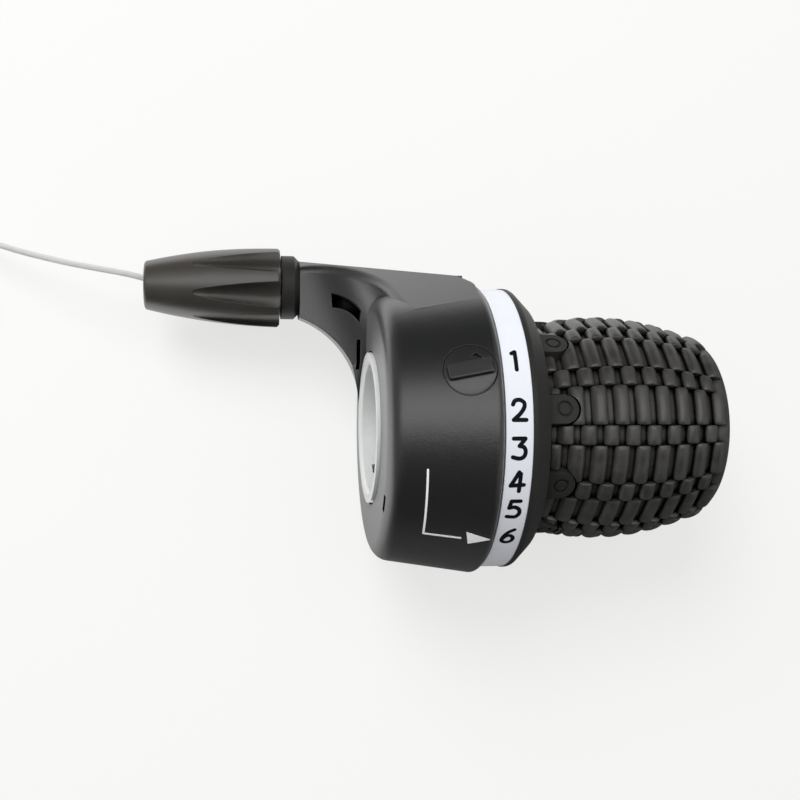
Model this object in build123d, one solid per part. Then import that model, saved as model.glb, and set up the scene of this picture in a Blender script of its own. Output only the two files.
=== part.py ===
from build123d import *
from math import acos, asin, atan, atan2, cos, degrees, hypot, radians, sin, sqrt, tan
import os

os.makedirs("parts", exist_ok=True)

# Right-hand twist grip shifter, in millimetres and degrees.
# X runs along the handlebar toward its end, Y is forward and Z is up.
# The origin is on the bar's axis, where the clamp ring's bore begins.
# Angles around the bar start at the top and grow toward the front.

# Reach of cutting shapes past what they cut, and a length that passes any piece
beyond = 1.0
far = 60.0

# Bar and clamp ring
bar_radius = 11.1
clamp_clearance = 0.05
clamp_wall = 1.95
clamp_length = 8.6
clamp_edge_chamfer = 0.5
clamp_pocket_gap = 0.25
clamp_angle = -75.0
relief_angle = -138.0
relief_width = 2.0
relief_lip = 1.5
split_gap = 1.8
lug_thickness = 3.0
lug_width = 5.6
lug_reach = 5.6
lug_centre_x = 5.4
lug_root = 0.8
clamp_screw_radius = 1.75
clamp_screw_clearance = 0.1
screw_head_radius = 3.0
screw_head_height = 2.4
screw_socket_width = 2.5
screw_socket_depth = 1.4
screw_outward = 0.2
screw_chamfer = 0.3
screw_past_nut = 0.8
clamp_nut_width = 6.0
clamp_nut_height = 2.6
clamp_nut_chamfer = 0.5
room_past_nut = 1.2
room_past_head = 0.4
room_past_lug = 0.6
key_hole_radius = 2.6

# Housing
housing_length = 17.9
housing_rim_radius = 25.5
housing_taper = 2.9
housing_wall = 1.9
end_wall = 2.2
inboard_round = 3.0
rim_round = 1.2
tab_x = 14.35
tab_length = 2.3
tab_reach = 0.75
tab_root = 3.0
tab_low = 0.5
tab_high = 4.6
end_slot_radius = 20.5
end_slot_width = 0.9
end_slot_angle = -36.0
end_slot_span = 9.0
end_slot_depth = 1.2
hub_wall = 1.8
journal_step = 1.6
journal_wall = 1.7
journal_bar_gap = 0.4
journal_past_ring = 1.95

# Cable arm and its adjuster axis
adjuster_out = 0.3
adjuster_below_edge = 2.55
arm_end_x = -11.8
arm_half_height = 4.9
arm_outer_reach = 4.5
arm_root_y = 4.0
arm_root_gap = 0.7
arm_plan_radius = 16.8
arm_ramp_radius = 11.5
arm_ramp_turn = 25.0
arm_ramp_lead = 0.5
arm_envelope_over = 7.3
arm_envelope_x = -2.0
arm_slope_angle = 58.0
arm_slope_round = 1.6
arm_under_round = 6.0
arm_slot_x = (-6.2, -2.95, -1.0, -1.3, -3.7, -6.0)
arm_slot_inward = (1.65, 2.9, 4.9, 7.05, 4.75, 4.15)
arm_slot_depth = 3.2
arm_slit_width = 0.65
arm_slit_length = 5.2
arm_slit_gap = 2.95

# Wire
wire_radius = 0.55
wire_bend_radius = 10.0
wire_bend_share = 0.45
wire_channel_radius = 1.0
wire_groove_sunk = 1.8
wire_groove_width = 1.5
head_radius = 1.75
head_length = 4.5
head_gap = 0.05
head_chamfer = 0.3
head_mouth = 4.0

# Hatch over the wire head
hatch_x = 12.75
hatch_angle = 21.6
hatch_skew = 8.0
hatch_radius = 4.2
hatch_gap = 0.1
hatch_recess = 1.15
hatch_flush = 0.04
hatch_scoop_drop = 0.15
hatch_scoop_tilt = 14.0
hatch_dent = ((0.8, 2.3), (1.4, 2.65), (2.5, 1.4))
hatch_dent_depth = 0.45
hatch_neck_radius = 3.3
hatch_bar_length = 7.0
hatch_bar_width = 2.6
hatch_bar_height = 0.6
hatch_bar_corner = 0.4
hatch_bar_edge = 0.25
hatch_well = 8.0
hatch_ear_length = 9.2
hatch_ear_width = 2.0
hatch_ear_top = 2.45
hatch_ear_thickness = 0.75

# Wire drum and detent
drum_start_gap = 0.2
drum_running_gap = 0.05
drum_rim_step = 2.4
drum_rim_length = 4.2
drum_recess_depth = 4.9
drum_rib_width = 4.0
drum_rib_count = 3
notch_angles = (0.0, 14.1, 25.7, 38.5, 52.5, 71.7)
notch_depth = 0.8
notch_half_width = 1.9
notch_past = 0.6
notch_margin = 0.3
detent_angle = 175.0
detent_width = 2.2
detent_rim_gap = 2.05
leaf_thickness = 0.4
leaf_half_length = 8.3
leaf_gap = 0.2
leaf_fit = 0.05
stop_drum_gap = 0.4
stop_length = 1.6
stop_height = 2.2
stop_sunk = 0.5
nose_half_width = 1.6

# Number band, flange and grip tube
band_gap = 0.2
band_drop = 1.15
band_width = 4.35
band_thickness = 1.5
band_fit = 0.05
flange_lip = 0.15
flange_length = 3.7
flange_chamfer = 2.9
flange_round = 0.8
flange_root = 3.0
flange_root_gap = 0.2
key_gap = 0.1
key_depth = 3.0
room_gap = 0.3
room_past_journal = 0.4
washer_thickness = 0.75
washer_outer_radius = 15.3
ring_thickness = 0.9
ring_outer_radius = 14.8
ring_groove_depth = 0.75
ring_side_gap = 0.05
ring_opening = 70.0
ring_fit = 0.05
tube_bar_gap = 0.4
tube_wall = 2.7
tube_length = 33.1
pad_count = 9
pad_first_angle = 9.0
pad_from_flange = 3.2
pad_radius = 2.4
pad_top_radius = 18.7
pad_ring_radius = 0.9
pad_ring_width = 0.45
pad_ring_depth = 0.4
pad_root = 0.5

# Rubber grip
rubber_from_flange = 1.3
rubber_lip = 0.6
rubber_fit = 0.05
rubber_start_radius = 17.9
rubber_full_radius = 19.8
rubber_full_from_start = 13.0
rubber_late_radius = 16.7
rubber_end_round = 3.3
rubber_end_facets = 4
rubber_lip_bar_gap = 0.7
rib_height = 1.35
rib_pitch = 3.68
rib_length = 2.6
rib_flank = 0.5
row_pairs = 12
row_first_angle = 11.0
wide_row_share = 2.0 / 3.0
wide_first_rib = 2.8
pad_rubber_gap = 0.25

# Adjuster
collar_length = 3.2
collar_radius = 5.8
collar_chamfer = 0.9
collar_gap = 0.3
collar_stem_gap = 0.2
knob_length = 24.1
knob_base_radius = 7.3
knob_mid_radius = 6.25
knob_tip_radius = 4.3
knob_mid_from_tip = 10.2
knob_tip_round = 0.6
knob_base_chamfer = 0.4
flute_count = 7
flute_first_angle = -17.5
flute_radius = 3.8
flute_depth = 1.3
flute_length = 15.5
flute_end_radius = 1.0
flute_end_height = 5.95
stem_radius = 2.0
stem_bore_radius = 1.1
stem_engagement = 6.2
thread_gap = 0.05
insert_wall = 0.8
insert_length = 6.5
spring_mean_radius = 3.2
spring_wire_radius = 0.3
spring_turns = 4
spring_pocket_depth = 5.6
spring_pocket_radius = 4.0
spring_fit = 0.05
seat_depth = 5.0
seat_outer_radius = 3.3
seat_casing_radius = 2.55
seat_floor = 0.7
seat_wire_radius = 1.5
seat_sunk = 0.3

# Free wire and the put-away coil on the table
wire_steps = [
    (0, 0, 0),
    (-2.65, 0, 0),
    (-7.05, 1.95, -0.2),
    (-12.65, 2.65, -1.0),
    (-19.35, 4.1, -2.6),
    (-30.05, 7.1, -6.4),
    (-37.85, 10.6, -9.4),
    (-44.05, 13.2, -10.1),
]
table_z = -25.3
coil_columns = 5
coil_layers = 6
coil_mean_radius = 10.2
coil_turn_gap = 0.02
coil_round = 1.6
coil_from_seat = (-48.95, 0.45)
tie_wall = 0.4
tie_gap = 0.15
tie_width = 3.0

# Worked-out sizes
housing_inboard_radius = housing_rim_radius - housing_taper
housing_slope = housing_taper / housing_length
adjuster_y = housing_rim_radius + adjuster_out
arm_outer_y = adjuster_y + arm_outer_reach
# the adjuster lies below the outer end of the arm's slope, to a tenth of a millimetre
slope_side = radians(90 - arm_slope_angle)
slope_reach = housing_inboard_radius + housing_slope * arm_end_x
slope_edge_z = (slope_reach - arm_outer_y * cos(slope_side)) / sin(slope_side)
adjuster_z = round(slope_edge_z - adjuster_below_edge, 1)
arm_envelope_radius = housing_rim_radius + arm_envelope_over
arm_slot_points = [(x, adjuster_y - inward) for x, inward in zip(arm_slot_x, arm_slot_inward)]
band_radius = housing_rim_radius - band_drop
flange_radius = band_radius + flange_lip
drum_rim_radius = band_radius - band_thickness - band_fit
drum_radius = drum_rim_radius - drum_rim_step
wire_groove_radius = drum_radius - wire_groove_sunk
clamp_inner = bar_radius + clamp_clearance
clamp_outer = clamp_inner + clamp_wall
pocket_radius = clamp_outer + clamp_pocket_gap
hub_radius = pocket_radius + hub_wall
step_x = clamp_length + clamp_pocket_gap
hub_end_x = step_x + journal_step
journal_inner = bar_radius + journal_bar_gap
journal_radius = journal_inner + journal_wall
drum_start_x = hub_end_x + drum_start_gap
drum_end_x = housing_length + band_gap + band_width
drum_inner = journal_radius + drum_running_gap
band_start_x = housing_length + band_gap
band_end_x = drum_end_x
flange_start_x = drum_end_x + band_fit
flange_end_x = flange_start_x + flange_length
tube_inner = bar_radius + tube_bar_gap
tube_radius = tube_inner + tube_wall
tube_end_x = flange_end_x + tube_length
room_radius = washer_outer_radius + room_gap
drum_recess_inner = room_radius - 2 * key_gap
drum_rim_x = drum_end_x - drum_rim_length
detent_x = drum_rim_x - detent_rim_gap
ring_start_x = drum_end_x + washer_thickness + 2 * ring_side_gap
journal_end_x = ring_start_x + ring_thickness + journal_past_ring
pad_x = flange_end_x + pad_from_flange
rubber_start_x = flange_end_x + rubber_from_flange
rubber_full_x = rubber_start_x + rubber_full_from_start
rubber_end_x = tube_end_x + rubber_fit + rubber_lip
rubber_late_x = rubber_end_x - rubber_end_round
collar_start_x = arm_end_x - collar_length
knob_base_x = collar_start_x - collar_gap
knob_tip_x = knob_base_x - knob_length
seat_floor_x = knob_tip_x + seat_depth - thread_gap - seat_floor
coil_turn = 2 * wire_radius + coil_turn_gap
coil_inner_radius = coil_mean_radius - coil_columns * coil_turn / 2
coil_outer_radius = coil_mean_radius + coil_columns * coil_turn / 2
coil_height = coil_layers * coil_turn
coil_middle_z = table_z + tie_wall + tie_gap + coil_height / 2
coil_centre = (seat_floor_x + coil_from_seat[0], adjuster_y + coil_from_seat[1])
wire_route = [(seat_floor_x + x, adjuster_y + y, adjuster_z + z) for x, y, z in wire_steps]


def housing_radius(x):
    return housing_inboard_radius + housing_slope * x


def turned(shape, angle):
    """Turns a shape made at the top by an angle toward the front."""
    return Rot(X=-angle) * shape


def lathe(points):
    """Solid of revolution about the bar from (x, radius) corners."""
    return revolve(make_face(Polyline(*points, close=True)), Axis.X)


def tube(x0, x1, outer, inner):
    return lathe([(x0, inner), (x1, inner), (x1, outer), (x0, outer)])


def rod(x0, x1, radius):
    return lathe([(x0, 0), (x1, 0), (x1, radius), (x0, radius)])


def block(x0, x1, y0, y1, z0, z1):
    corner = (Align.MIN, Align.MIN, Align.MIN)
    return Pos(x0, y0, z0) * Box(x1 - x0, y1 - y0, z1 - z0, align=corner)


def wedge(angle, x0, x1):
    """Slice of the given angle about the top, between two places along the bar."""
    half = tan(radians(angle / 2)) * far
    side = Plane.YZ * make_face(Polyline((0, 0), (half, far), (-half, far), close=True))
    return Pos(x0, 0, 0) * extrude(side, x1 - x0)


def rounded_at(profile, corners, radius):
    """Profile with the vertices at the given corners rounded."""
    for corner in corners:
        profile = fillet(profile.vertices().sort_by_distance(corner)[0], radius)
    return profile


def on_adjuster(shape):
    """Moves a shape made about the bar's axis to the adjuster's axis."""
    return Pos(0, adjuster_y, adjuster_z) * shape


def along_y(y0, y1, radius, x, z):
    """Round bar along Y between two places."""
    bar = Cylinder(radius, abs(y1 - y0))
    return Pos(x, (y0 + y1) / 2, z) * Rot(X=90) * bar


def single(shape):
    """The one solid that a set of cuts and joins leaves."""
    return shape.solids().sort_by(SortBy.VOLUME)[-1]


# Clamp ring, its screw and nut, made with the split at the top
lug_face = split_gap / 2 + lug_thickness
lug_top = clamp_outer + lug_reach
screw_z = clamp_outer + lug_reach / 2 + screw_outward
lug_x0 = lug_centre_x - lug_width / 2
lug_x1 = lug_centre_x + lug_width / 2


def make_clamp_ring():
    ring = lathe([
        (-clamp_edge_chamfer, clamp_inner + clamp_edge_chamfer),
        (-clamp_edge_chamfer, clamp_outer),
        (clamp_length, clamp_outer),
        (clamp_length, clamp_inner),
        (0, clamp_inner),
    ])
    lugs = block(lug_x0, lug_x1, -lug_face, lug_face, clamp_outer - lug_root, lug_top)
    gap = block(-beyond, clamp_length + beyond, -split_gap / 2, split_gap / 2, 0, lug_top + beyond)
    hole_radius = clamp_screw_radius + clamp_screw_clearance
    hole = along_y(-lug_face - beyond, lug_face + beyond, hole_radius, lug_centre_x, screw_z)
    half = relief_width / 2
    relief = block(relief_lip, clamp_length + beyond, -half, half, 0, clamp_outer + beyond)
    ring = single(ring + lugs - gap - hole)
    return turned(ring - turned(relief, relief_angle - clamp_angle), clamp_angle)


def make_clamp_screw():
    head_y = -lug_face - screw_head_height
    head = along_y(-lug_face, head_y, screw_head_radius, lug_centre_x, screw_z)
    head = chamfer(head.edges().sort_by(Axis.Y)[0], screw_chamfer)
    shank_end = lug_face + clamp_nut_height + screw_past_nut
    shank = along_y(-lug_face, shank_end, clamp_screw_radius, lug_centre_x, screw_z)
    socket_radius = screw_socket_width / sqrt(3)
    socket_face = Plane((lug_centre_x, head_y, screw_z), z_dir=(0, 1, 0))
    socket = extrude(socket_face * RegularPolygon(socket_radius, 6), screw_socket_depth)
    return turned(single(head + shank - socket), clamp_angle)


def make_clamp_nut():
    half = clamp_nut_width / 2
    body = block(
        lug_centre_x - half, lug_centre_x + half,
        lug_face, lug_face + clamp_nut_height,
        screw_z - half, screw_z + half,
    )
    body = chamfer(body.edges().filter_by(Axis.Y), clamp_nut_chamfer)
    thread = along_y(0, far, clamp_screw_radius, lug_centre_x, screw_z)
    return turned(single(body - thread), clamp_angle)


def clamp_room():
    """Space in the housing for the lugs, screw and nut, with the key's way in."""
    head_side = -lug_face - screw_head_height - room_past_head
    nut_side = lug_face + clamp_nut_height + room_past_nut
    room = block(end_wall, step_x, head_side, nut_side, clamp_inner, lug_top + room_past_lug)
    key_hole = along_y(-lug_face, -far, key_hole_radius, lug_centre_x, screw_z)
    return turned(room + key_hole, clamp_angle)


# Wire path: along the arm, round the bend, then straight to the drum's groove
exit_distance = hypot(adjuster_y, adjuster_z)
exit_angle = atan2(adjuster_z, adjuster_y)
touch_angle = exit_angle + acos(wire_groove_radius / exit_distance)
touch_point = Vector(
    hatch_x,
    wire_groove_radius * cos(touch_angle),
    wire_groove_radius * sin(touch_angle),
)
arm_axis_end = Vector(hatch_x, adjuster_y, adjuster_z)
toward_drum = (touch_point - arm_axis_end).normalized()
bend_start = Vector(hatch_x - wire_bend_radius, adjuster_y, adjuster_z)
bend_centre = bend_start + toward_drum * wire_bend_radius
bend_middle = (
    bend_centre
    - toward_drum * (wire_bend_radius * cos(radians(45)))
    + Vector(1, 0, 0) * (wire_bend_radius * sin(radians(45)))
)
bend_end = bend_centre + Vector(1, 0, 0) * wire_bend_radius


def groove_point(angle):
    """Point on the groove's centre line, at an angle from the front toward the top."""
    return Vector(
        hatch_x, wire_groove_radius * cos(angle), wire_groove_radius * sin(angle)
    )


head_angle = radians(90 - hatch_angle)
head_inlet_angle = head_angle - asin((head_length / 2 + 2 * head_gap) / wire_groove_radius)


def wire_path(start_x, end_angle):
    run = Line((start_x, adjuster_y, adjuster_z), bend_start)
    bend = ThreePointArc(bend_start, bend_middle, bend_end)
    reach = Line(bend_end, touch_point)
    if end_angle is None:
        return Wire([run, bend, reach])
    wrap = ThreePointArc(
        touch_point, groove_point((touch_angle + end_angle) / 2), groove_point(end_angle)
    )
    return Wire([run, bend, reach, wrap])


def wire_solid(path, radius):
    start = Plane(path @ 0, z_dir=path % 0)
    return sweep(start * Circle(radius), path=path)


# Housing
def arm_ramp(extra):
    """Concave cut that shapes the top of the arm, deeper by the extra."""
    radius = arm_ramp_radius + extra
    section = Circle(radius) + Pos(0, radius) * Rectangle(2 * radius, 2 * radius)
    cut = extrude(Plane.XZ * section, far, both=True)
    centre_z = adjuster_z + arm_half_height + arm_ramp_radius
    return Pos(arm_end_x - arm_ramp_lead, adjuster_y, centre_z) * Rot(Z=arm_ramp_turn) * cut


def make_arm():
    curve_x = -arm_root_gap - arm_plan_radius
    inner_y = arm_root_y + sqrt(arm_plan_radius**2 - (arm_end_x - curve_x) ** 2)
    turn = atan2(inner_y - arm_root_y, arm_end_x - curve_x) / 2
    middle = (
        curve_x + arm_plan_radius * cos(turn),
        arm_root_y + arm_plan_radius * sin(turn),
    )
    root = (-arm_root_gap, arm_root_y)
    back_x = housing_length - rim_round
    outline = [
        ThreePointArc((arm_end_x, inner_y), middle, root),
        Polyline(
            root,
            (back_x, arm_root_y),
            (back_x, adjuster_y),
            (arm_end_x, arm_outer_y),
            (arm_end_x, inner_y),
        ),
    ]
    low = adjuster_z - arm_half_height
    top = housing_rim_radius * sin(slope_side)
    arm = extrude(Pos(0, 0, low) * make_face(outline), top - low)
    under = arm.edges().filter_by(GeomType.CIRCLE).sort_by(Axis.Z)[0]
    arm = fillet(under, arm_under_round)
    arm -= arm_ramp(0)
    envelope = lathe([
        (arm_end_x, 0),
        (arm_end_x, arm_envelope_radius),
        (arm_envelope_x, arm_envelope_radius),
        (back_x, adjuster_y),
        (back_x, 0),
    ])
    arm = arm & envelope
    # the outer slope is the plane that touches the housing's skin at the slope angle
    lean = atan(housing_slope)
    facing = Vector(-sin(lean), cos(lean) * cos(slope_side), cos(lean) * sin(slope_side))
    slope = Plane(facing * (housing_inboard_radius * cos(lean)), z_dir=facing)
    up = (Align.CENTER, Align.CENTER, Align.MIN)
    arm = single(arm - slope * Box(3 * far, 3 * far, far, align=up))
    slope_face = min(arm.faces(), key=lambda face: (face.normal_at() - facing).length)
    crease = slope_face.edges().filter_by(GeomType.ELLIPSE)
    return fillet(crease, arm_slope_round)


def arm_slot():
    """Curved slot and the thin slit beyond it, sunk in the arm's top."""
    left_outer, middle_outer, right_outer, right_inner, middle_inner, left_inner = arm_slot_points
    outline = [
        ThreePointArc(left_outer, middle_outer, right_outer),
        Line(right_outer, right_inner),
        ThreePointArc(right_inner, middle_inner, left_inner),
        Line(left_inner, left_outer),
    ]
    slot = extrude(make_face(outline), far, both=True)
    slit_x, slot_end_y = right_inner
    slit_y = slot_end_y - arm_slit_gap
    half = arm_slit_width / 2
    slit = block(slit_x - half, slit_x + half, slit_y - arm_slit_length, slit_y, -far, far)
    return (slot + slit) & arm_ramp(arm_slot_depth)


def side_tab():
    """Small raised tab on the arm's outer side, near the rim."""
    half = tab_length / 2
    outer = housing_rim_radius + tab_reach
    return block(tab_x - half, tab_x + half, outer - tab_root, outer, tab_low, tab_high)


def end_slot():
    """Short curved slot in the inboard end."""
    half = end_slot_width / 2
    groove = tube(-beyond, end_slot_depth, end_slot_radius + half, end_slot_radius - half)
    return turned(groove & wedge(end_slot_span, -beyond, end_slot_depth), end_slot_angle)


def hatch_frame():
    """Frame on the housing's skin at the hatch, Z pointing straight out of it."""
    lean = -degrees(atan(housing_slope))
    surface = Pos(hatch_x, 0, housing_radius(hatch_x)) * Rot(Y=lean)
    return Rot(X=-hatch_angle) * surface * Rot(Z=hatch_skew)


def hatch_opening():
    outer = (Align.CENTER, Align.CENTER, Align.MIN)
    inner = (Align.CENTER, Align.CENTER, Align.MAX)
    recess = Pos(0, 0, -hatch_recess) * Cylinder(hatch_radius + hatch_gap, far, align=outer)
    neck = Cylinder(hatch_neck_radius + hatch_gap, hatch_well, align=inner)
    ears = Pos(0, 0, -hatch_recess) * Box(
        hatch_ear_width + 4 * hatch_gap,
        hatch_ear_length + 4 * hatch_gap,
        hatch_well - 2 * hatch_recess,
        align=inner,
    )
    return hatch_frame() * (recess + neck + ears)


def leaf_stops():
    """Two small blocks inside the shell that keep the leaf spring from sliding."""
    x0 = detent_x - detent_width / 2 - notch_margin
    x1 = detent_x + detent_width / 2 + notch_margin
    low = drum_radius + stop_drum_gap
    near = leaf_half_length + leaf_gap
    stops = block(x0, x1, near, near + stop_length, low, low + stop_height)
    stops += block(x0, x1, -near - stop_length, -near, low, low + stop_height)
    return turned(stops, detent_angle)


def make_housing():
    profile = make_face(Polyline(
        (0, 0),
        (0, housing_inboard_radius),
        (housing_length, housing_rim_radius),
        (housing_length, 0),
        close=True,
    ))
    profile = rounded_at(profile, [(housing_length, housing_rim_radius)], rim_round)
    profile = rounded_at(profile, [(0, housing_inboard_radius)], inboard_round)
    shell = revolve(profile, Axis.X)
    inner = lathe([
        (end_wall, hub_radius),
        (end_wall, housing_radius(end_wall) - housing_wall),
        (housing_length + beyond, housing_radius(housing_length + beyond) - housing_wall),
        (housing_length + beyond, journal_radius),
        (hub_end_x, journal_radius),
        (hub_end_x, hub_radius),
    ])
    shell = shell + make_arm() + side_tab() - inner - end_slot()
    shell += tube(step_x, journal_end_x, journal_radius, journal_inner)
    shell -= rod(arm_end_x - beyond, step_x, pocket_radius)
    shell -= rod(-beyond, journal_end_x + beyond, journal_inner)
    shell -= tube(
        ring_start_x - ring_side_gap,
        ring_start_x + ring_thickness + ring_side_gap,
        journal_radius + beyond,
        journal_radius - ring_groove_depth,
    )
    shell += leaf_stops() & rod(0, housing_length, housing_radius(detent_x) - stop_sunk)
    shell -= clamp_room()
    shell -= hatch_opening()
    shell -= arm_slot()
    shell -= wire_solid(wire_path(arm_end_x, None), wire_channel_radius)
    shell -= on_adjuster(rod(arm_end_x - beyond, arm_end_x + insert_length, stem_radius + insert_wall))
    return single(shell)


# Hatch
def make_hatch():
    """Round cap that lies flush in the skin, with a raised bar, a scoop below it and bayonet ears."""
    depth = hatch_ear_top + hatch_ear_thickness
    inner = (Align.CENTER, Align.CENTER, Align.MAX)
    cap = Pos(0, 0, beyond) * Cylinder(hatch_radius, beyond + hatch_recess, align=inner)
    cap += Cylinder(hatch_neck_radius, depth, align=inner)
    cap += Pos(0, 0, -hatch_ear_top) * Box(
        hatch_ear_length, hatch_ear_width, hatch_ear_thickness, align=inner
    )
    low = rim_round
    high = housing_length
    skin = lathe([
        (low, 0),
        (low, housing_radius(low) - hatch_flush),
        (high, housing_radius(high) - hatch_flush),
        (high, 0),
    ])
    cap = hatch_frame() * cap & skin
    scoop = Box(far, far, far, align=(Align.CENTER, Align.MAX, Align.MIN))
    scoop = Pos(0, -hatch_bar_width / 2, -hatch_scoop_drop) * Rot(X=hatch_scoop_tilt) * scoop
    dent = extrude(Pos(0, 0, -hatch_dent_depth) * make_face(Polyline(*hatch_dent, close=True)), far)
    bar_room = hatch_bar_height + hatch_recess
    bar = Pos(0, 0, hatch_bar_height) * Box(hatch_bar_length, hatch_bar_width, bar_room, align=inner)
    bar = fillet(bar.edges().filter_by(Axis.Z), hatch_bar_corner)
    bar = fillet(bar.faces().sort_by(Axis.Z)[-1].edges(), hatch_bar_edge)
    return single(cap - hatch_frame() * (scoop + dent) + hatch_frame() * bar)


# Drum, head and detent
def make_drum():
    groove_bottom = wire_groove_radius - wire_groove_width / 2
    drum = lathe([
        (drum_start_x, drum_inner),
        (drum_start_x, drum_radius),
        (hatch_x - wire_groove_width / 2, drum_radius),
        (hatch_x - wire_groove_width / 2, groove_bottom),
        (hatch_x + wire_groove_width / 2, groove_bottom),
        (hatch_x + wire_groove_width / 2, drum_radius),
        (drum_rim_x, drum_radius),
        (drum_rim_x, drum_rim_radius),
        (drum_end_x, drum_rim_radius),
        (drum_end_x, drum_inner),
    ])
    recess_x = drum_end_x - drum_recess_depth
    recess = tube(recess_x, drum_end_x + beyond, drum_radius, drum_recess_inner)
    for number in range(drum_rib_count):
        half = drum_rib_width / 2
        rib = block(recess_x, drum_end_x + beyond, -half, half, 0, drum_radius)
        recess -= turned(rib, 360 / drum_rib_count * number)
    drum -= recess
    for angle in notch_angles:
        notch = Plane.YZ * make_face(Polyline(
            (-notch_half_width, drum_radius + notch_past),
            (0, drum_radius - notch_depth),
            (notch_half_width, drum_radius + notch_past),
            close=True,
        ))
        cut = extrude(notch, detent_width / 2 + notch_margin, both=True)
        drum -= turned(Pos(detent_x, 0, 0) * cut, detent_angle + angle)
    return single(drum - head_pocket())


def head_pocket():
    """Cup for the wire head, open outward, with the wire's way in along the groove."""
    radius = head_radius + head_gap
    length = head_length + 2 * head_gap
    cup = Pos(hatch_x, 0, wire_groove_radius) * Rot(X=90) * Cylinder(radius, length)
    mouth = Pos(hatch_x, 0, wire_groove_radius + head_mouth / 2) * Box(2 * radius, length, head_mouth)
    return turned(cup + mouth, hatch_angle)


def make_head():
    barrel = Pos(hatch_x, 0, wire_groove_radius) * Rot(X=90) * Cylinder(head_radius, head_length)
    return turned(chamfer(barrel.edges().filter_by(GeomType.CIRCLE), head_chamfer), hatch_angle)


def make_detent_spring():
    flat_z = sqrt((housing_radius(detent_x - detent_width) - housing_wall) ** 2 - leaf_half_length**2)
    flat_z -= leaf_thickness / 2 + leaf_fit
    nose_z = drum_radius - notch_depth + leaf_thickness
    line = Polyline(
        (-leaf_half_length, flat_z),
        (-nose_half_width, flat_z),
        (0, nose_z),
        (nose_half_width, flat_z),
        (leaf_half_length, flat_z),
    )
    strip = offset(line, leaf_thickness / 2, side=Side.BOTH, kind=Kind.INTERSECTION)
    leaf = extrude(Plane.YZ * make_face(strip.edges()), detent_width)
    return turned(Pos(detent_x - detent_width / 2, 0, 0) * leaf, detent_angle)


# Number band, washer, retaining ring and grip tube
def make_number_band():
    return tube(band_start_x, band_end_x, band_radius, band_radius - band_thickness)


def make_thrust_washer():
    start = drum_end_x + ring_side_gap
    inner = journal_radius + drum_running_gap
    return tube(start, start + washer_thickness, washer_outer_radius, inner)


def make_retaining_ring():
    end_x = ring_start_x + ring_thickness
    inner = journal_radius - ring_groove_depth + ring_fit
    ring = tube(ring_start_x, end_x, ring_outer_radius, inner)
    opening = wedge(ring_opening, ring_start_x - beyond, end_x + beyond)
    return turned(single(ring - opening), 180)


def pad_plan(grow):
    """Outline of a round pad that stands on the grip tube next to the flange."""
    edge = pad_radius + grow
    start = flange_end_x - beyond
    square = Pos((start + pad_x) / 2, 0) * Rectangle(pad_x - start, 2 * edge)
    return square + Pos(pad_x, 0) * Circle(edge)


def make_grip_tube():
    room_end = journal_end_x + room_past_journal
    bevel = [
        (flange_end_x - flange_chamfer, flange_radius),
        (flange_end_x, flange_radius - flange_chamfer),
    ]
    profile = make_face(Polyline(
        (flange_start_x - key_depth, room_radius),
        (flange_start_x - key_depth, drum_radius - key_gap),
        (flange_start_x, drum_radius - key_gap),
        (flange_start_x, flange_radius),
        *bevel,
        (flange_end_x, tube_radius + flange_root),
        (rubber_start_x - flange_root_gap, tube_radius),
        (tube_end_x, tube_radius),
        (tube_end_x, tube_inner),
        (room_end, tube_inner),
        (room_end, room_radius),
        close=True,
    ))
    body = revolve(rounded_at(profile, bevel, flange_round), Axis.X)
    for number in range(drum_rib_count):
        half = drum_rib_width / 2 + key_gap
        start = flange_start_x - key_depth - beyond
        slot = block(start, flange_start_x, -half, half, 0, drum_radius + beyond)
        body -= turned(slot, 360 / drum_rib_count * number)
    pad_base = tube_radius - pad_root
    pad = extrude(Pos(0, 0, pad_base) * pad_plan(0), pad_top_radius - pad_base)
    mark = Circle(pad_ring_radius + pad_ring_width) - Circle(pad_ring_radius)
    pad -= extrude(Pos(pad_x, 0, pad_top_radius - pad_ring_depth) * mark, beyond)
    pads = [turned(pad, pad_first_angle + 360 / pad_count * n) for n in range(pad_count)]
    return single(body + pads)


# Rubber grip
def skin_radius(x):
    """Barrel line of the rib tops, a parabola through three driving radii."""
    a = Vector(rubber_start_x, rubber_start_radius)
    b = Vector(rubber_full_x, rubber_full_radius)
    c = Vector(rubber_late_x, rubber_late_radius)
    left = (b.Y - a.Y) / (b.X - a.X)
    right = (c.Y - b.Y) / (c.X - b.X)
    bend = (right - left) / (c.X - a.X)
    return a.Y + (x - a.X) * (left + bend * (x - b.X))


def grip_radius(x):
    """Line of the rib tops, with the rounded outer end."""
    if x <= rubber_late_x:
        return skin_radius(x)
    past_late = min(x - rubber_late_x, rubber_end_round)
    return rubber_late_radius - rubber_end_round + sqrt(rubber_end_round**2 - past_late**2)


def rib_root(x):
    """Floor between the ribs, which comes up to their tops at the very end."""
    past_late = max(0, x - rubber_late_x) / rubber_end_round
    return grip_radius(x) - rib_height * (1 - past_late)


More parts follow.
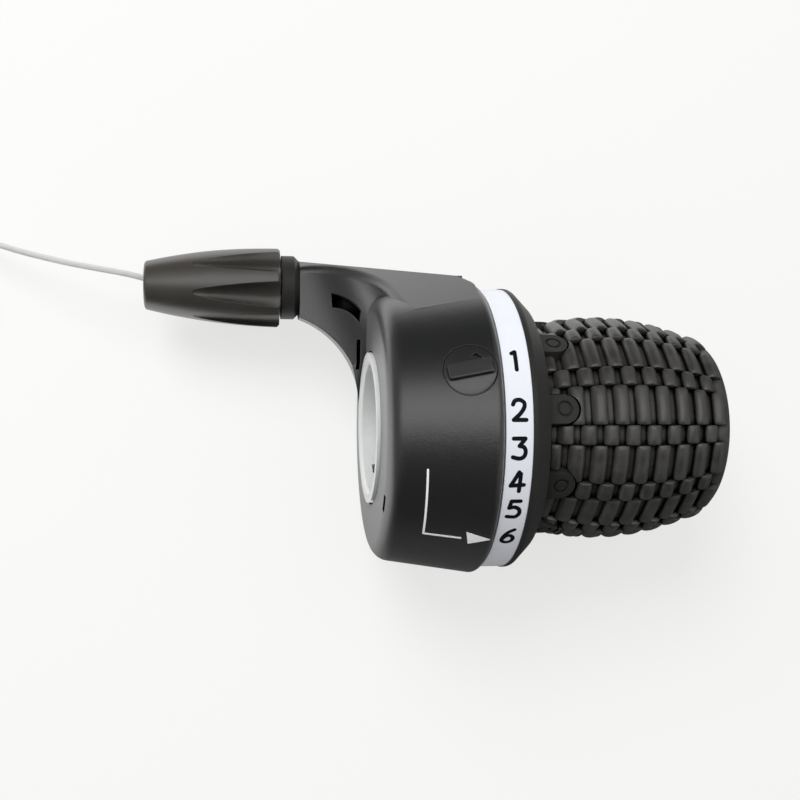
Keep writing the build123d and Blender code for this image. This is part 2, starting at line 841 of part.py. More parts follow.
def row_solid(width, first_x):
    """One row of ribs at the top, as a wedge of the given angle."""
    core = tube_inner / 2
    points = [(rubber_start_x, core), (rubber_start_x, rib_root(rubber_start_x))]
    x = first_x
    while x + rib_length < rubber_end_x:
        for place, height in (
            (x, rib_root),
            (x + rib_flank, grip_radius),
            (x + rib_length - rib_flank, grip_radius),
            (x + rib_length, rib_root),
        ):
            if place > rubber_start_x:
                points.append((place, height(place)))
        x += rib_pitch
    last_turn = asin(max(0, points[-1][0] - rubber_late_x) / rubber_end_round)
    for step in range(1, rubber_end_facets + 1):
        turn = last_turn + (radians(90) - last_turn) * step / rubber_end_facets
        place = rubber_late_x + rubber_end_round * sin(turn)
        points.append((place, rib_root(place)))
    points.append((rubber_end_x, core))
    comb = Plane.XZ * make_face(Polyline(*points, close=True))
    return extrude(comb, rubber_full_radius, both=True) & wedge(width, 0, rubber_end_x + beyond)


def make_rubber_grip():
    period = 360 / row_pairs
    wide_first_x = rubber_start_x + wide_first_rib
    wide = row_solid(period * wide_row_share, wide_first_x)
    narrow = row_solid(period * (1 - wide_row_share), wide_first_x - rib_pitch / 2)
    rows = []
    for number in range(row_pairs):
        rows.append(turned(wide, row_first_angle + period * number))
        rows.append(turned(narrow, row_first_angle + period * (number + 0.5)))
    grip = rows[0] + rows[1:]
    grip -= rod(0, tube_end_x + rubber_fit, tube_radius + rubber_fit)
    grip -= rod(0, rubber_end_x + beyond, bar_radius + rubber_lip_bar_gap)
    notch = extrude(pad_plan(pad_rubber_gap), far)
    notches = [turned(notch, pad_first_angle + 360 / pad_count * n) for n in range(pad_count)]
    return single(grip - notches)


# Adjuster: knob, stem, spring, seat, collar and threaded insert
def make_knob():
    arc = ThreePointArc(
        (knob_base_x, knob_base_radius),
        (knob_tip_x + knob_mid_from_tip, knob_mid_radius),
        (knob_tip_x, knob_tip_radius),
    )
    sides = Polyline(
        (knob_tip_x, knob_tip_radius),
        (knob_tip_x, 0),
        (knob_base_x, 0),
        (knob_base_x, knob_base_radius),
    )
    knob = revolve(make_face([arc, sides]), Axis.X)
    knob = fillet(knob.edges().filter_by(GeomType.CIRCLE).sort_by(Axis.X)[0], knob_tip_round)
    knob = chamfer(knob.edges().filter_by(GeomType.CIRCLE).sort_by(Axis.X)[-1], knob_base_chamfer)
    # each flute is a tapered round cutter that leaves the skin toward the tip
    wide_end = Vector(knob_base_x, 0, knob_base_radius - flute_depth + flute_radius)
    thin_end = Vector(knob_base_x - flute_length, 0, flute_end_height + flute_end_radius)
    along = wide_end - thin_end
    past = 1 + flute_depth / along.length
    spread = flute_end_radius + (flute_radius - flute_end_radius) * past
    upward = (Align.CENTER, Align.CENTER, Align.MIN)
    cutter = Plane(thin_end, z_dir=along) * Cone(
        flute_end_radius, spread, along.length * past, align=upward
    )
    for number in range(flute_count):
        knob -= turned(cutter, flute_first_angle + 360 / flute_count * number)
    knob -= rod(knob_tip_x - beyond, knob_tip_x + seat_depth, seat_outer_radius + thread_gap)
    knob -= rod(knob_tip_x, knob_base_x + beyond, stem_radius)
    knob -= rod(knob_base_x - spring_pocket_depth, knob_base_x + beyond, spring_pocket_radius)
    return on_adjuster(single(knob))


def make_stem():
    return on_adjuster(
        tube(knob_tip_x + seat_depth, arm_end_x + stem_engagement, stem_radius, stem_bore_radius)
    )


def make_seat():
    back_x = seat_floor_x + seat_floor
    mouth_x = knob_tip_x + seat_sunk
    return on_adjuster(lathe([
        (mouth_x, seat_casing_radius),
        (mouth_x, seat_outer_radius),
        (back_x, seat_outer_radius),
        (back_x, seat_wire_radius),
        (seat_floor_x, seat_wire_radius),
        (seat_floor_x, seat_casing_radius),
    ]))


def make_adjuster_spring():
    height = spring_pocket_depth + collar_gap - 2 * (spring_wire_radius + spring_fit)
    coil = Helix(height / spring_turns, height, spring_mean_radius)
    start = Plane(coil @ 0, z_dir=coil % 0)
    spring = sweep(start * Circle(spring_wire_radius), path=coil, is_frenet=True)
    place = Pos(knob_base_x - spring_pocket_depth + spring_wire_radius + spring_fit, 0, 0)
    return on_adjuster(place * Rot(Y=90) * spring)


def make_collar():
    collar = lathe([
        (collar_start_x, stem_radius + collar_stem_gap),
        (collar_start_x, collar_radius),
        (arm_end_x - collar_chamfer, collar_radius),
        (arm_end_x, collar_radius - collar_chamfer),
        (arm_end_x, stem_radius + collar_stem_gap),
    ])
    return on_adjuster(collar)


def make_insert():
    outer = stem_radius + insert_wall
    return on_adjuster(
        tube(arm_end_x, arm_end_x + insert_length, outer, stem_radius + thread_gap)
    )


# Wire inside, free run, coil and tie
def make_inner_wire():
    return wire_solid(wire_path(wire_route[0][0], head_inlet_angle), wire_radius)


def make_wire_run():
    points = [Vector(*p) for p in wire_route]
    bends = []
    for a, b, c in zip(points, points[1:], points[2:]):
        half_turn = radians((b - a).get_angle(c - b)) / 2
        bends.append(wire_bend_share * min((b - a).length, (c - b).length) / tan(half_turn))
    print("radii of the wire's bends:", [round(bend, 1) for bend in bends])
    path = FilletPolyline(*points, radius=bends)
    return wire_solid(path, wire_radius)


def make_coil():
    section = Plane.XZ * (
        Pos(coil_mean_radius, coil_middle_z)
        * RectangleRounded(coil_outer_radius - coil_inner_radius, coil_height, coil_round)
    )
    return Pos(coil_centre[0], coil_centre[1], 0) * revolve(section, Axis.Z)


def make_tie():
    width = coil_outer_radius - coil_inner_radius
    ring = []
    for grow in (tie_gap + tie_wall, tie_gap):
        ring.append(RectangleRounded(width + 2 * grow, coil_height + 2 * grow, coil_round + grow))
    around = ring[0] - ring[1]
    face = Plane.XZ * (Pos(coil_mean_radius, coil_middle_z) * around)
    loop = extrude(face, tie_width / 2, both=True)
    return Pos(coil_centre[0], coil_centre[1], 0) * Rot(Z=-90) * loop


makers = {
    "clamp_ring": make_clamp_ring,
    "clamp_screw": make_clamp_screw,
    "clamp_nut": make_clamp_nut,
    "shifter_housing": make_housing,
    "cable_hatch": make_hatch,
    "wire_drum": make_drum,
    "wire_head": make_head,
    "detent_spring": make_detent_spring,
    "number_band": make_number_band,
    "thrust_washer": make_thrust_washer,
    "retaining_ring": make_retaining_ring,
    "grip_tube": make_grip_tube,
    "rubber_grip": make_rubber_grip,
    "adjuster_knob": make_knob,
    "adjuster_stem": make_stem,
    "casing_seat": make_seat,
    "adjuster_spring": make_adjuster_spring,
    "adjuster_collar": make_collar,
    "thread_insert": make_insert,
    "inner_wire": make_inner_wire,
    "wire_run": make_wire_run,
    "wire_coil": make_coil,
    "wire_tie": make_tie,
}

for name, make in makers.items():
    export_step(make(), f"parts/{name}.step")
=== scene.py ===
import bmesh
import bpy
import math
from mathutils import Matrix, Vector


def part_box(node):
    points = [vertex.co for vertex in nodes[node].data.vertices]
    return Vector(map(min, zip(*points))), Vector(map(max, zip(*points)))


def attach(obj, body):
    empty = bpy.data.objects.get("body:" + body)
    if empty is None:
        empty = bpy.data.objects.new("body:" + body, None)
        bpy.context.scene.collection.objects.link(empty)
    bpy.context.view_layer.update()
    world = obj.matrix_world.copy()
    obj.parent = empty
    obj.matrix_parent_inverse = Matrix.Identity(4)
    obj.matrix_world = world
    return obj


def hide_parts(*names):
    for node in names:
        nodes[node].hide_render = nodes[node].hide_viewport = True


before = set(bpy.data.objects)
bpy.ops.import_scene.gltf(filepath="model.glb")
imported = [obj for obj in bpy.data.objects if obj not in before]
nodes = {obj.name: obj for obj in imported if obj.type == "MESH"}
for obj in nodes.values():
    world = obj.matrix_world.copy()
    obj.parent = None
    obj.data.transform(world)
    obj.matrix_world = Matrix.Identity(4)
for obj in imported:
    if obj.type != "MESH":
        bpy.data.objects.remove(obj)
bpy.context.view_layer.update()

# Lengths are in millimetres and angles in degrees, and MM turns a length into metres.
# X runs along the handlebar toward its end, Y is forward and Z is up.
# Angles around the bar start at the top and grow toward the front.
MM = 0.001

# Camera
camera_place = (-23.9, 0.0, 184.1)
camera_look = (0.15655, 0.02592, -0.98733)
camera_up = (-0.00175, 0.99966, 0.02596)
camera_lens = 47.83
camera_sensor = 36.0
camera_near = 5.0
camera_far = 20000.0

# Lamps: the overhead one lights and stays out of gloss, the sheen is wide, weak and mirrored
lamp_target = (5, 5, 0)
overhead_place = (-260, 400, 560)
overhead_size = (420, 420)
overhead_power = 4.0
sheen_place = (-20, 190, 690)
sheen_size = (1150, 500)
sheen_power = 0.95

# Room: the light that it gives, and what gloss shows of it, which is brighter toward the bar's two ends.
# The side and rear values are measures of a unit direction, along the bar and forward.
room_light = 0.35
room_dark = (0.018, 0.018, 0.018, 1)
room_bright = (0.22, 0.22, 0.22, 1)
room_inboard_share = 0.65
room_side_from = 0.1
room_side_full = 0.8
room_rear_dark = -0.85
room_rear_clear = -0.35

# Floor: the share of its white that is its own glow, and the strip of it that gloss shows as a painted
# white reflection.
# The strip begins at a slanted line across the bar and fades out in front of the part; off it, gloss sees
# the floor painted dark as shade.
floor_z = -25.3
floor_size = 3000.0
floor_glow = 0.7
strip_slant = 0.8
strip_from = -60.0
strip_full = 20.0
strip_fading = 85.0
strip_gone = 135.0

# Soft edges in the materials, and the dull black painted into their gaps as shade
edge_samples = 6
edge_from = 0.01
edge_full = 0.18
gap_samples = 8
painted_shade_black = (0.001, 0.001, 0.001, 1)

# Housing and number band, as the solids have them
housing_inboard_radius = 22.6
housing_rim_radius = 25.5
housing_rim_x = 17.9
band_radius = 24.35

# Printed marks, which stand out of the surface by their thickness and reach as far into it
print_thickness = 0.03
line_steps = 8
round_end_steps = 8
digit_x = 20.2
digit_width = 2.35
digit_height = 3.2
digit_stroke = 0.66
digit_angles = (25.5, 6.3, -7.75, -20.5, -32.15, -46.2)

# Pen strokes of the digits in a box one wide and one high, centred on zero
digit_lines = {
    "1": [[(-0.22, 0.40), (0.02, 0.5)], [(0.02, 0.5), (0.02, -0.5)]],
    "2": [
        [(-0.42, 0.27), (-0.27, 0.46), (0.06, 0.5), (0.34, 0.36), (0.33, 0.12), (0.05, -0.18),
         (-0.4, -0.48)],
        [(-0.4, -0.48), (0.46, -0.48)],
    ],
    "3": [
        [(-0.4, 0.48), (0.4, 0.48)],
        [(0.4, 0.48), (0.0, 0.12)],
        [(0.0, 0.12), (0.30, 0.06), (0.43, -0.15), (0.33, -0.40), (0.02, -0.5), (-0.43, -0.43)],
    ],
    "4": [
        [(0.08, 0.5), (-0.44, -0.2)],
        [(-0.44, -0.2), (0.46, -0.16)],
        [(0.2, 0.42), (0.16, -0.5)],
    ],
    "5": [
        [(0.38, 0.48), (-0.24, 0.48)],
        [(-0.24, 0.48), (-0.34, 0.08)],
        [(-0.34, 0.08), (0.05, 0.13), (0.36, -0.02), (0.4, -0.27), (0.14, -0.47), (-0.42, -0.44)],
    ],
    "6": [
        [(0.34, 0.5), (-0.06, 0.3), (-0.35, -0.05), (-0.36, -0.36), (-0.04, -0.5), (0.31, -0.38),
         (0.37, -0.12), (0.13, 0.06), (-0.15, 0.0), (-0.34, -0.2)],
    ],
}

# Pointer on the housing: the ends of its two lines and the arrow's corners, each a place along the bar
# and an angle
pointer_stroke = 0.34
pointer_steps = 24
pointer_down = ((6.05, -16.1), (6.37, -45.5))
pointer_across = ((6.37, -45.6), (12.32, -46.0))
arrow_front = (13.04, -42.3)
arrow_rear = (13.65, -48.9)
arrow_tip = (17.08, -45.1)
arrow_blunt = 0.97
arrow_steps = 8

# Rubber grip, as its solid has it
rubber_start_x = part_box("rubber_grip")[0].x / MM
rubber_end_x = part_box("rubber_grip")[1].x / MM
rubber_full_x = rubber_start_x + 13.0
rubber_end_round = 3.3
rubber_late_x = rubber_end_x - rubber_end_round
rubber_start_radius = 17.9
rubber_full_radius = 19.8
rubber_late_radius = 16.7
rubber_bore = 14.25
rubber_lip_bore = 11.8
rubber_lip = 0.6
rib_height = 1.35
rib_pitch = 3.68
rib_length = 2.75
rib_first = 2.8
row_pairs = 12
row_first_angle = 11.0
wide_row_share = 2.0 / 3.0

# Roundness of the ribs, where a higher power is flatter on top, and the bevel in the lip's mouth
rib_length_power = 2.1
rib_width_power = 9.0
lip_bevel_length = 0.1
lip_bevel_height = 0.3

# Closeness of the grip's mesh: shares across a row from -1 to 1, shares along a rib from its start to just
# past its end, and steps on the rounded end
row_shares = (-1.0, -0.97, -0.9, -0.78, -0.45, 0.0, 0.45, 0.78, 0.9, 0.97)
rib_shares = (0.0, 0.03, 0.07, 0.15, 0.28, 0.4, 0.5, 0.6, 0.72, 0.85, 0.93, 0.97, 1.0, 1.16)
end_round_steps = 12
least_step = 0.05
sharp_angle = 50.0

# Notches in the rubber's inner end, round the pads of the tube, which leave a thin floor over it
pad_count = 9
pad_first_angle = 9.0
pad_x = rubber_start_x + 1.9
pad_room = 2.65
pad_room_lead = 4.0
pad_room_floor = rubber_bore + 0.4
pad_room_top = 26.0
pad_room_steps = 16

# Gear wire: the free run's points, then the coil that is put away on the table inside its tie
wire_diameter = 1.1
wire_start = (-35.15, 25.8, -12.0)
wire_steps = [
    (0, 0, 0),
    (-1.4, 0.25, 0),
    (-6.05, 1.85, -0.2),
    (-12.65, 3.0, -1.0),
    (-19.35, 4.35, -2.6),
    (-30.05, 7.35, -6.4),
    (-37.85, 10.7, -9.4),
    (-44.05, 13.2, -10.1),
]
wire_route = [Vector(wire_start) + Vector(step) for step in wire_steps]
tie_wall = 0.4
tie_gap = 0.15
coil_centre = (-84.1, 26.25)
coil_columns = 5
coil_layers = 6
coil_mean_radius = 10.2
coil_turn_gap = 0.02
coil_turn = wire_diameter + coil_turn_gap
coil_low_z = floor_z + tie_wall + tie_gap
coil_climb = 0.25
coil_first_point = 2
points_per_turn = 16


def metres(point):
    return Vector(point) * MM


def around(x, angle, radius):
    """Point at a place along the bar, an angle from the top toward the front and a radius."""
    turn = math.radians(angle)
    return Vector((x, radius * math.sin(turn), radius * math.cos(turn)))


def add_object(name, data):
    piece = bpy.data.objects.new(name, data)
    bpy.context.scene.collection.objects.link(piece)
    return piece


def mesh_piece(name, points, faces, smooth=True):
    """New piece from points in millimetres."""
    mesh = bpy.data.meshes.new(name)
    mesh.from_pydata([metres(p) for p in points], [], faces)
    mesh.validate()
    mesh.update()
    for polygon in mesh.polygons:
        polygon.use_smooth = smooth
    return add_object(name, mesh)


# Shader maths
class Field:
    """A shader socket that takes part in sums and products, each adding a Math node."""

    tree = None

    def __init__(self, socket):
        self.socket = socket

    @classmethod
    def fill(cls, node, sockets):
        """Sets the values of a node's sockets, or links them."""
        for key, value in sockets.items():
            if isinstance(value, Field):
                cls.tree.links.new(value.socket, node.inputs[key])
            else:
                node.inputs[key].default_value = value

    @classmethod
    def node(cls, kind, settings=None, sockets=None, out=0):
        """Adds a node: its settings first, then the values or links of its sockets."""
        node = cls.tree.nodes.new(kind)
        for key, value in (settings or {}).items():
            setattr(node, key, value)
        cls.fill(node, sockets or {})
        return cls(node.outputs[out])

    def math(self, operation, other, swapped=False):
        first, second = (other, self) if swapped else (self, other)
        return Field.node("ShaderNodeMath", {"operation": operation}, {0: first, 1: second})

    def __add__(self, other):
        return self.math("ADD", other)

    def __radd__(self, other):
        return self.math("ADD", other, True)

    def __sub__(self, other):
        return self.math("SUBTRACT", other)

    def __rsub__(self, other):
        return self.math("SUBTRACT", other, True)

    def __mul__(self, other):
        return self.math("MULTIPLY", other)

    def __rmul__(self, other):
        return self.math("MULTIPLY", other, True)


def between(value, low, high):
    """0 below low, 1 above high, smooth between."""
    return Field.node(
        "ShaderNodeMapRange",
        {"interpolation_type": "SMOOTHSTEP"},
        {"Value": value, "From Min": low, "From Max": high},
    )


def mixed(share, first, second):
    """Colour between two, by a share from 0 to 1; sockets 6 and 7 of the node are its colours."""
    return Field.node(
        "ShaderNodeMix", {"data_type": "RGBA"}, {"Factor": share, 6: first, 7: second}, out=2
    )


def along_and_forward(vector):
    """The parts of a vector along the bar and forward."""
    along = Field.node("ShaderNodeSeparateXYZ", sockets={"Vector": vector}, out="X")
    forward = Field.node("ShaderNodeSeparateXYZ", sockets={"Vector": vector}, out="Y")
    return along, forward


def light_path(kind):
    """1 for rays of one kind and 0 for the others."""
    return Field.node("ShaderNodeLightPath", out=kind)


def object_place():
    return Field.node("ShaderNodeTexCoord", out="Object")


def grain(size, detail=2.0, rough=0.5):
    """Noise between 0 and 1 whose lumps are about the given size in millimetres."""
    sockets = {"Vector": object_place(), "Scale": 1.0 / (size * MM), "Detail": detail, "Roughness": rough}
    return Field.node("ShaderNodeTexNoise", {"noise_dimensions": "3D"}, sockets)


def softened(radius):
    """Surface normal with edges rounded over a radius in millimetres."""
    return Field.node("ShaderNodeBevel", {"samples": edge_samples}, {"Radius": radius * MM})


def edge_share(rounded):
    """About 0 on open faces and more near edges, where the rounded normal leaves the plain one."""
    plain = Field.node("ShaderNodeNewGeometry", out="Normal")
    likeness = Field.node(
        "ShaderNodeVectorMath", {"operation": "DOT_PRODUCT"}, {0: rounded, 1: plain}, out="Value"
    )
    return between(1.0 - likeness, edge_from, edge_full)


def open_share(distance, closed, clear):
    """1 on open faces and less in grooves and corners of about the given size."""
    seen = Field.node(
        "ShaderNodeAmbientOcclusion", {"samples": gap_samples}, {"Distance": distance * MM}, out="AO"
    )
    return between(seen, closed, clear)


def bumped(height, depth, normal=None):
    """Normal with a height field pressed into it, depth in millimetres."""
    sockets = {"Height": height, "Distance": depth * MM, "Strength": 1.0}
    if normal is not None:
        sockets["Normal"] = normal
    return Field.node("ShaderNodeBump", sockets=sockets)


# Materials
def start(name):
    """Opens a material and makes it the one that nodes go to."""
    material = bpy.data.materials.new(name)
    material.use_nodes = True
    Field.tree = material.node_tree
    return material


def finish(material, colour, roughness, normal=None, unshaded_share=None, constants=None):
    """Closes a material: varying values are linked, the constants are set on the shader itself.

    Where the unshaded share is below 1, a dull black shows through: shade painted into grooves and
    corners.
    """
    shader = Field.tree.nodes["Principled BSDF"]
    sockets = {"Base Color": colour, "Roughness": roughness, **(constants or {})}
    if normal is not None:
        sockets["Normal"] = normal
    Field.fill(shader, sockets)
    if unshaded_share is not None:
        # Painted shade: a dull black diffuse mixed in where little of the surroundings is seen
        black = Field.node("ShaderNodeBsdfDiffuse", sockets={"Color": painted_shade_black})
        surface = Field(shader.outputs["BSDF"])
        with_painted_shade = Field.node("ShaderNodeMixShader", sockets={0: unshaded_share, 1: black, 2: surface})
        Field.fill(Field.tree.nodes["Material Output"], {"Surface": with_painted_shade})
    return material


def housing_finish():
    """Charcoal moulded plastic with a fine spark-eroded grain."""
    dark = (0.0048, 0.0053, 0.0066, 1)
    light = (0.0072, 0.0075, 0.0080, 1)
    fleck = (0.018, 0.018, 0.018, 1)
    worn = (0.05, 0.05, 0.049, 1)
    material = start("charcoal_moulding")
    rounded = softened(0.25)
    fine = grain(0.28, detail=3.0, rough=0.65)
    flecked = mixed(between(fine, 0.55, 0.75), mixed(grain(7.0), dark, light), fleck)
    colour = mixed(edge_share(rounded) * 0.12, flecked, worn)
    roughness = 0.29 + fine * 0.12
    normal = bumped(fine, 0.035, rounded)
    # Painted shade: a dull black shows in grooves, seams and corners of about 2.5 mm
    unshaded_share = open_share(2.5, closed=0.35, clear=0.9)
    constants = {"Specular IOR Level": 1.0, "IOR": 2.0, "Sheen Weight": 0.12, "Sheen Roughness": 0.45}
    return finish(material, colour, roughness, normal, unshaded_share, constants)


def knob_finish():
    """Brown-black moulded plastic, a little shinier than the housing."""
    dark = (0.038, 0.034, 0.028, 1)
    light = (0.056, 0.050, 0.042, 1)
    worn = (0.10, 0.09, 0.08, 1)
    material = start("brown_black_moulding")
    rounded = softened(0.2)
    fine = grain(0.22, detail=3.0, rough=0.6)
    colour = mixed(edge_share(rounded) * 0.4, mixed(grain(4.0, detail=3.0), dark, light), worn)
    roughness = 0.25 + fine * 0.14
    normal = bumped(fine, 0.03, rounded)
    # Painted shade: a dull black shows in the flutes, where little of the surroundings is seen
    unshaded_share = open_share(6.0, closed=0.78, clear=1.0)
    constants = {"Specular IOR Level": 1.0, "IOR": 1.8}
    return finish(material, colour, roughness, normal, unshaded_share, constants)


def flange_finish():
    """Satin black moulding of the grip's core."""
    dark = (0.018, 0.0175, 0.0165, 1)
    light = (0.026, 0.025, 0.0235, 1)
    worn = (0.05, 0.049, 0.046, 1)
    material = start("satin_black_moulding")
    rounded = softened(0.2)
    fine = grain(0.25, detail=3.0, rough=0.6)
    colour = mixed(edge_share(rounded) * 0.3, mixed(grain(5.0), dark, light), worn)
    roughness = 0.45 + fine * 0.15
    normal = bumped(fine, 0.02, rounded)
    constants = {"Specular IOR Level": 0.6, "Sheen Weight": 0.04}
    return finish(material, colour, roughness, normal, constants=constants)


def rubber_finish():
    """Black rubber with dusty patches, with shade painted dark between its ribs."""
    dark = (0.030, 0.029, 0.026, 1)
    dusty = (0.054, 0.052, 0.047, 1)
    material = start("ribbed_rubber")
    fine = grain(0.13, detail=4.0, rough=0.65)
    dust = between(grain(2.2, detail=4.0, rough=0.6), 0.35, 0.75)
    colour = mixed(dust, dark, dusty)
    roughness = 0.30 + dust * 0.14 + fine * 0.06
    normal = bumped(fine, 0.025)
    # Painted shade: a dull black shows between the ribs
    unshaded_share = open_share(1.3, closed=0.4, clear=0.85)
    constants = {"Specular IOR Level": 1.0, "IOR": 1.8, "Sheen Weight": 0.05, "Sheen Roughness": 0.4}
    return finish(material, colour, roughness, normal, unshaded_share, constants)


def band_finish():
    """White semi-gloss plastic."""
    dark = (0.78, 0.81, 0.87, 1)
    light = (0.83, 0.85, 0.90, 1)
    material = start("band_white")
    colour = mixed(grain(3.0, detail=3.0), dark, light)
    roughness = 0.32 + grain(0.4, detail=3.0) * 0.1
    normal = bumped(grain(1.2), 0.004, softened(0.15))
    return finish(material, colour, roughness, normal)


def ink_finish(name, dark, light):
    """Printed ink, slightly uneven."""
    material = start(name)
    patch = grain(0.5, detail=3.0)
    colour = mixed(patch, dark, light)
    roughness = 0.45 + patch * 0.15
    return finish(material, colour, roughness, constants={"Specular IOR Level": 0.15})


def metal_finish(name, dark, light, smoothest, metallic=1.0):
    """Turned metal: fine lines round the bar's direction, with stains, and its lowest roughness."""
    line_size = 0.12
    line_stretch = (1.0, 0.04, 0.04)
    line_depth = 0.006
    material = start(name)
    place = Field.node(
        "ShaderNodeVectorMath", {"operation": "MULTIPLY"}, {0: object_place(), 1: line_stretch}
    )
    sockets = {"Vector": place, "Scale": 1.0 / (line_size * MM), "Detail": 3.0}
    lines = Field.node("ShaderNodeTexNoise", sockets=sockets)
    stain = grain(2.5, detail=4.0, rough=0.6)
    colour = mixed(stain, dark, light)
    roughness = smoothest + lines * 0.12 + stain * 0.08
    normal = bumped(lines, line_depth, softened(0.12))
    return finish(material, colour, roughness, normal, constants={"Metallic": metallic})


def plain_finish(name, dark, light, smoothest):
    """Smooth moulded plastic for the small inner pieces and the tie, and its lowest roughness."""
    material = start(name)
    fine = grain(0.2, detail=3.0)
    colour = mixed(grain(2.0, detail=3.0), dark, light)
    roughness = smoothest + fine * 0.1
    return finish(material, colour, roughness, bumped(fine, 0.01))


def wire_finish():
    """Bright steel strands laid round the wire."""
    dark = (0.76, 0.76, 0.75, 1)
    light = (0.88, 0.88, 0.87, 1)
    material = start("steel_strands")
    strands = Field.node(
        "ShaderNodeTexWave",
        {"wave_type": "BANDS", "bands_direction": "DIAGONAL"},
        {"Vector": Field.node("ShaderNodeUVMap"), "Scale": 40.0, "Distortion": 0.0},
    )
    stain = grain(1.5, detail=3.0)
    colour = mixed(stain, dark, light)
    roughness = 0.3 + stain * 0.1
    return finish(material, colour, roughness, bumped(strands, 0.012), constants={"Metallic": 0.3})


def show(surface, output):
    """Links a shader to a new output node of the given type."""
    Field.fill(Field.tree.nodes.new(output), {"Surface": surface})


def floor_finish():
    """Pale floor, near white to the camera with a soft shadow; gloss sees a painted white strip and
    painted shade off it.
    """
    pale = (0.88, 0.88, 0.87, 1)
    white = (0.985, 0.985, 0.975, 1)
    dark = (0.06, 0.06, 0.06, 1)
    material = start("pale_floor")
    Field.tree.nodes.clear()
    glossy = light_path("Is Glossy Ray")
    seen = light_path("Is Camera Ray") + light_path("Is Transmission Ray")
    along, forward = along_and_forward(Field.node("ShaderNodeNewGeometry", out="Position"))
    begun = between(forward - along * strip_slant, strip_from * MM, strip_full * MM)
    ended = between(forward, strip_fading * MM, strip_gone * MM)
    painted_dark_share = 1.0 - begun * (1.0 - ended)
    # Painted reflection: to gloss the floor glows white on the strip and is painted dark, as shade, off it
    colour = mixed(glossy * painted_dark_share, white, dark)
    glow = Field.node("ShaderNodeEmission", sockets={"Color": colour, "Strength": 1.0})
    shade = Field.node("ShaderNodeBsdfDiffuse", sockets={"Color": pale})
    share = (seen * floor_glow + glossy).math("MINIMUM", 1.0)
    surface = Field.node("ShaderNodeMixShader", sockets={0: share, 1: shade, 2: glow})
    show(surface, "ShaderNodeOutputMaterial")
    return material


# Camera, light and floor
def place_camera():
    data = bpy.data.cameras.new("view")
    data.lens = camera_lens
    data.sensor_width = camera_sensor
    data.clip_start = camera_near * MM
    data.clip_end = camera_far * MM
    camera = add_object("view", data)
    look = Vector(camera_look).normalized()
    right = look.cross(Vector(camera_up)).normalized()
    up = right.cross(look)
    turn = Matrix((right, up, -look)).transposed().to_4x4()
    camera.matrix_world = Matrix.Translation(metres(camera_place)) @ turn
    bpy.context.scene.camera = camera


def add_lamp(name, place, size, power, mirrored):
    data = bpy.data.lights.new(name, "AREA")
    data.shape = "ELLIPSE"
    data.size = size[0] * MM
    data.size_y = size[1] * MM
    data.energy = power
    lamp = add_object(name, data)
    lamp.visible_glossy = mirrored
    lamp.location = metres(place)
    aim = metres(lamp_target) - lamp.location
    lamp.rotation_euler = aim.to_track_quat("-Z", "Y").to_euler()


def make_room():
    """Even light from all round; gloss shows a darker room with brighter sides."""
    world = bpy.data.worlds.new("soft_room")
    bpy.context.scene.world = world
    world.use_nodes = True
    Field.tree = world.node_tree
    Field.tree.nodes.clear()
    lighting = Field.node("ShaderNodeBackground", sockets={"Color": (1, 1, 1, 1), "Strength": room_light})
    along, forward = along_and_forward(Field.node("ShaderNodeTexCoord", out="Generated"))
    inboard = between(0.0 - along, room_side_from, room_side_full)
    outboard = between(along, room_side_from, room_side_full)
    sides = (inboard * room_inboard_share + outboard) * between(forward, room_rear_dark, room_rear_clear)
    colour = mixed(sides, room_dark, room_bright)
    mirrored = Field.node("ShaderNodeBackground", sockets={"Color": colour, "Strength": 1.0})
    glossy = light_path("Is Glossy Ray")
    surface = Field.node("ShaderNodeMixShader", sockets={0: glossy, 1: lighting, 2: mirrored})
    show(surface, "ShaderNodeOutputWorld")


def lay_floor():
    half = floor_size / 2
    corners = [(-half, -half), (half, -half), (half, half), (-half, half)]
    floor = mesh_piece("floor", [(x, y, floor_z) for x, y in corners], [(0, 1, 2, 3)], False)
    floor.data.materials.append(floor_finish())


# Gear wire
def coil_seats():
    """Radius and height of each turn, layer by layer from the table up, inward and outward by turns."""
    inner = coil_mean_radius - (coil_columns - 1) * coil_turn / 2
    seats = []
    for layer in range(coil_layers):
        columns = range(coil_columns)
        if layer % 2 == 0:
            columns = reversed(columns)
        for column in columns:
            seats.append((inner + column * coil_turn, coil_low_z + (layer + 0.5) * coil_turn))
    return seats


def coil_points():
    """Control points of the coil, which moves to the next seat in the last part of each turn.

    The curve runs inside its control points, so they stand a little wider than the turns.
    The run's end stands for the first of them.
    """
    seats = coil_seats()
    run_end = wire_route[-1]
    first_angle = math.atan2(run_end.y - coil_centre[1], run_end.x - coil_centre[0])
    widen = 1 / math.cos(math.pi / points_per_turn)
    points = []
    for number in range(coil_first_point, len(seats) * points_per_turn):
        turn, step = divmod(number, points_per_turn)
        radius, height = seats[turn]
        climbed = (step / points_per_turn - 1 + coil_climb) / coil_climb
        if turn + 1 < len(seats) and climbed > 0:
            radius += (seats[turn + 1][0] - radius) * climbed
            height += (seats[turn + 1][1] - height) * climbed
        angle = first_angle + 2 * math.pi * number / points_per_turn
        points.append((
            coil_centre[0] + radius * widen * math.cos(angle),
            coil_centre[1] + radius * widen * math.sin(angle),
            height,
        ))
    return points


def make_wire(material):
    data = bpy.data.curves.new("gear_wire", "CURVE")
    data.dimensions = "3D"
    data.bevel_depth = wire_diameter / 2 * MM
    data.bevel_resolution = 3
    data.resolution_u = 3
    data.use_fill_caps = True
    points = wire_route + coil_points()
    spline = data.splines.new("NURBS")
    spline.points.add(len(points) - 1)
    for point, place in zip(spline.points, points):
        point.co = (*metres(place), 1.0)
    spline.order_u = 3
    spline.use_endpoint_u = True
    data.materials.append(material)
    wire = add_object("gear_wire", data)
    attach(wire, "housing")
    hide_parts("wire_run", "wire_coil")


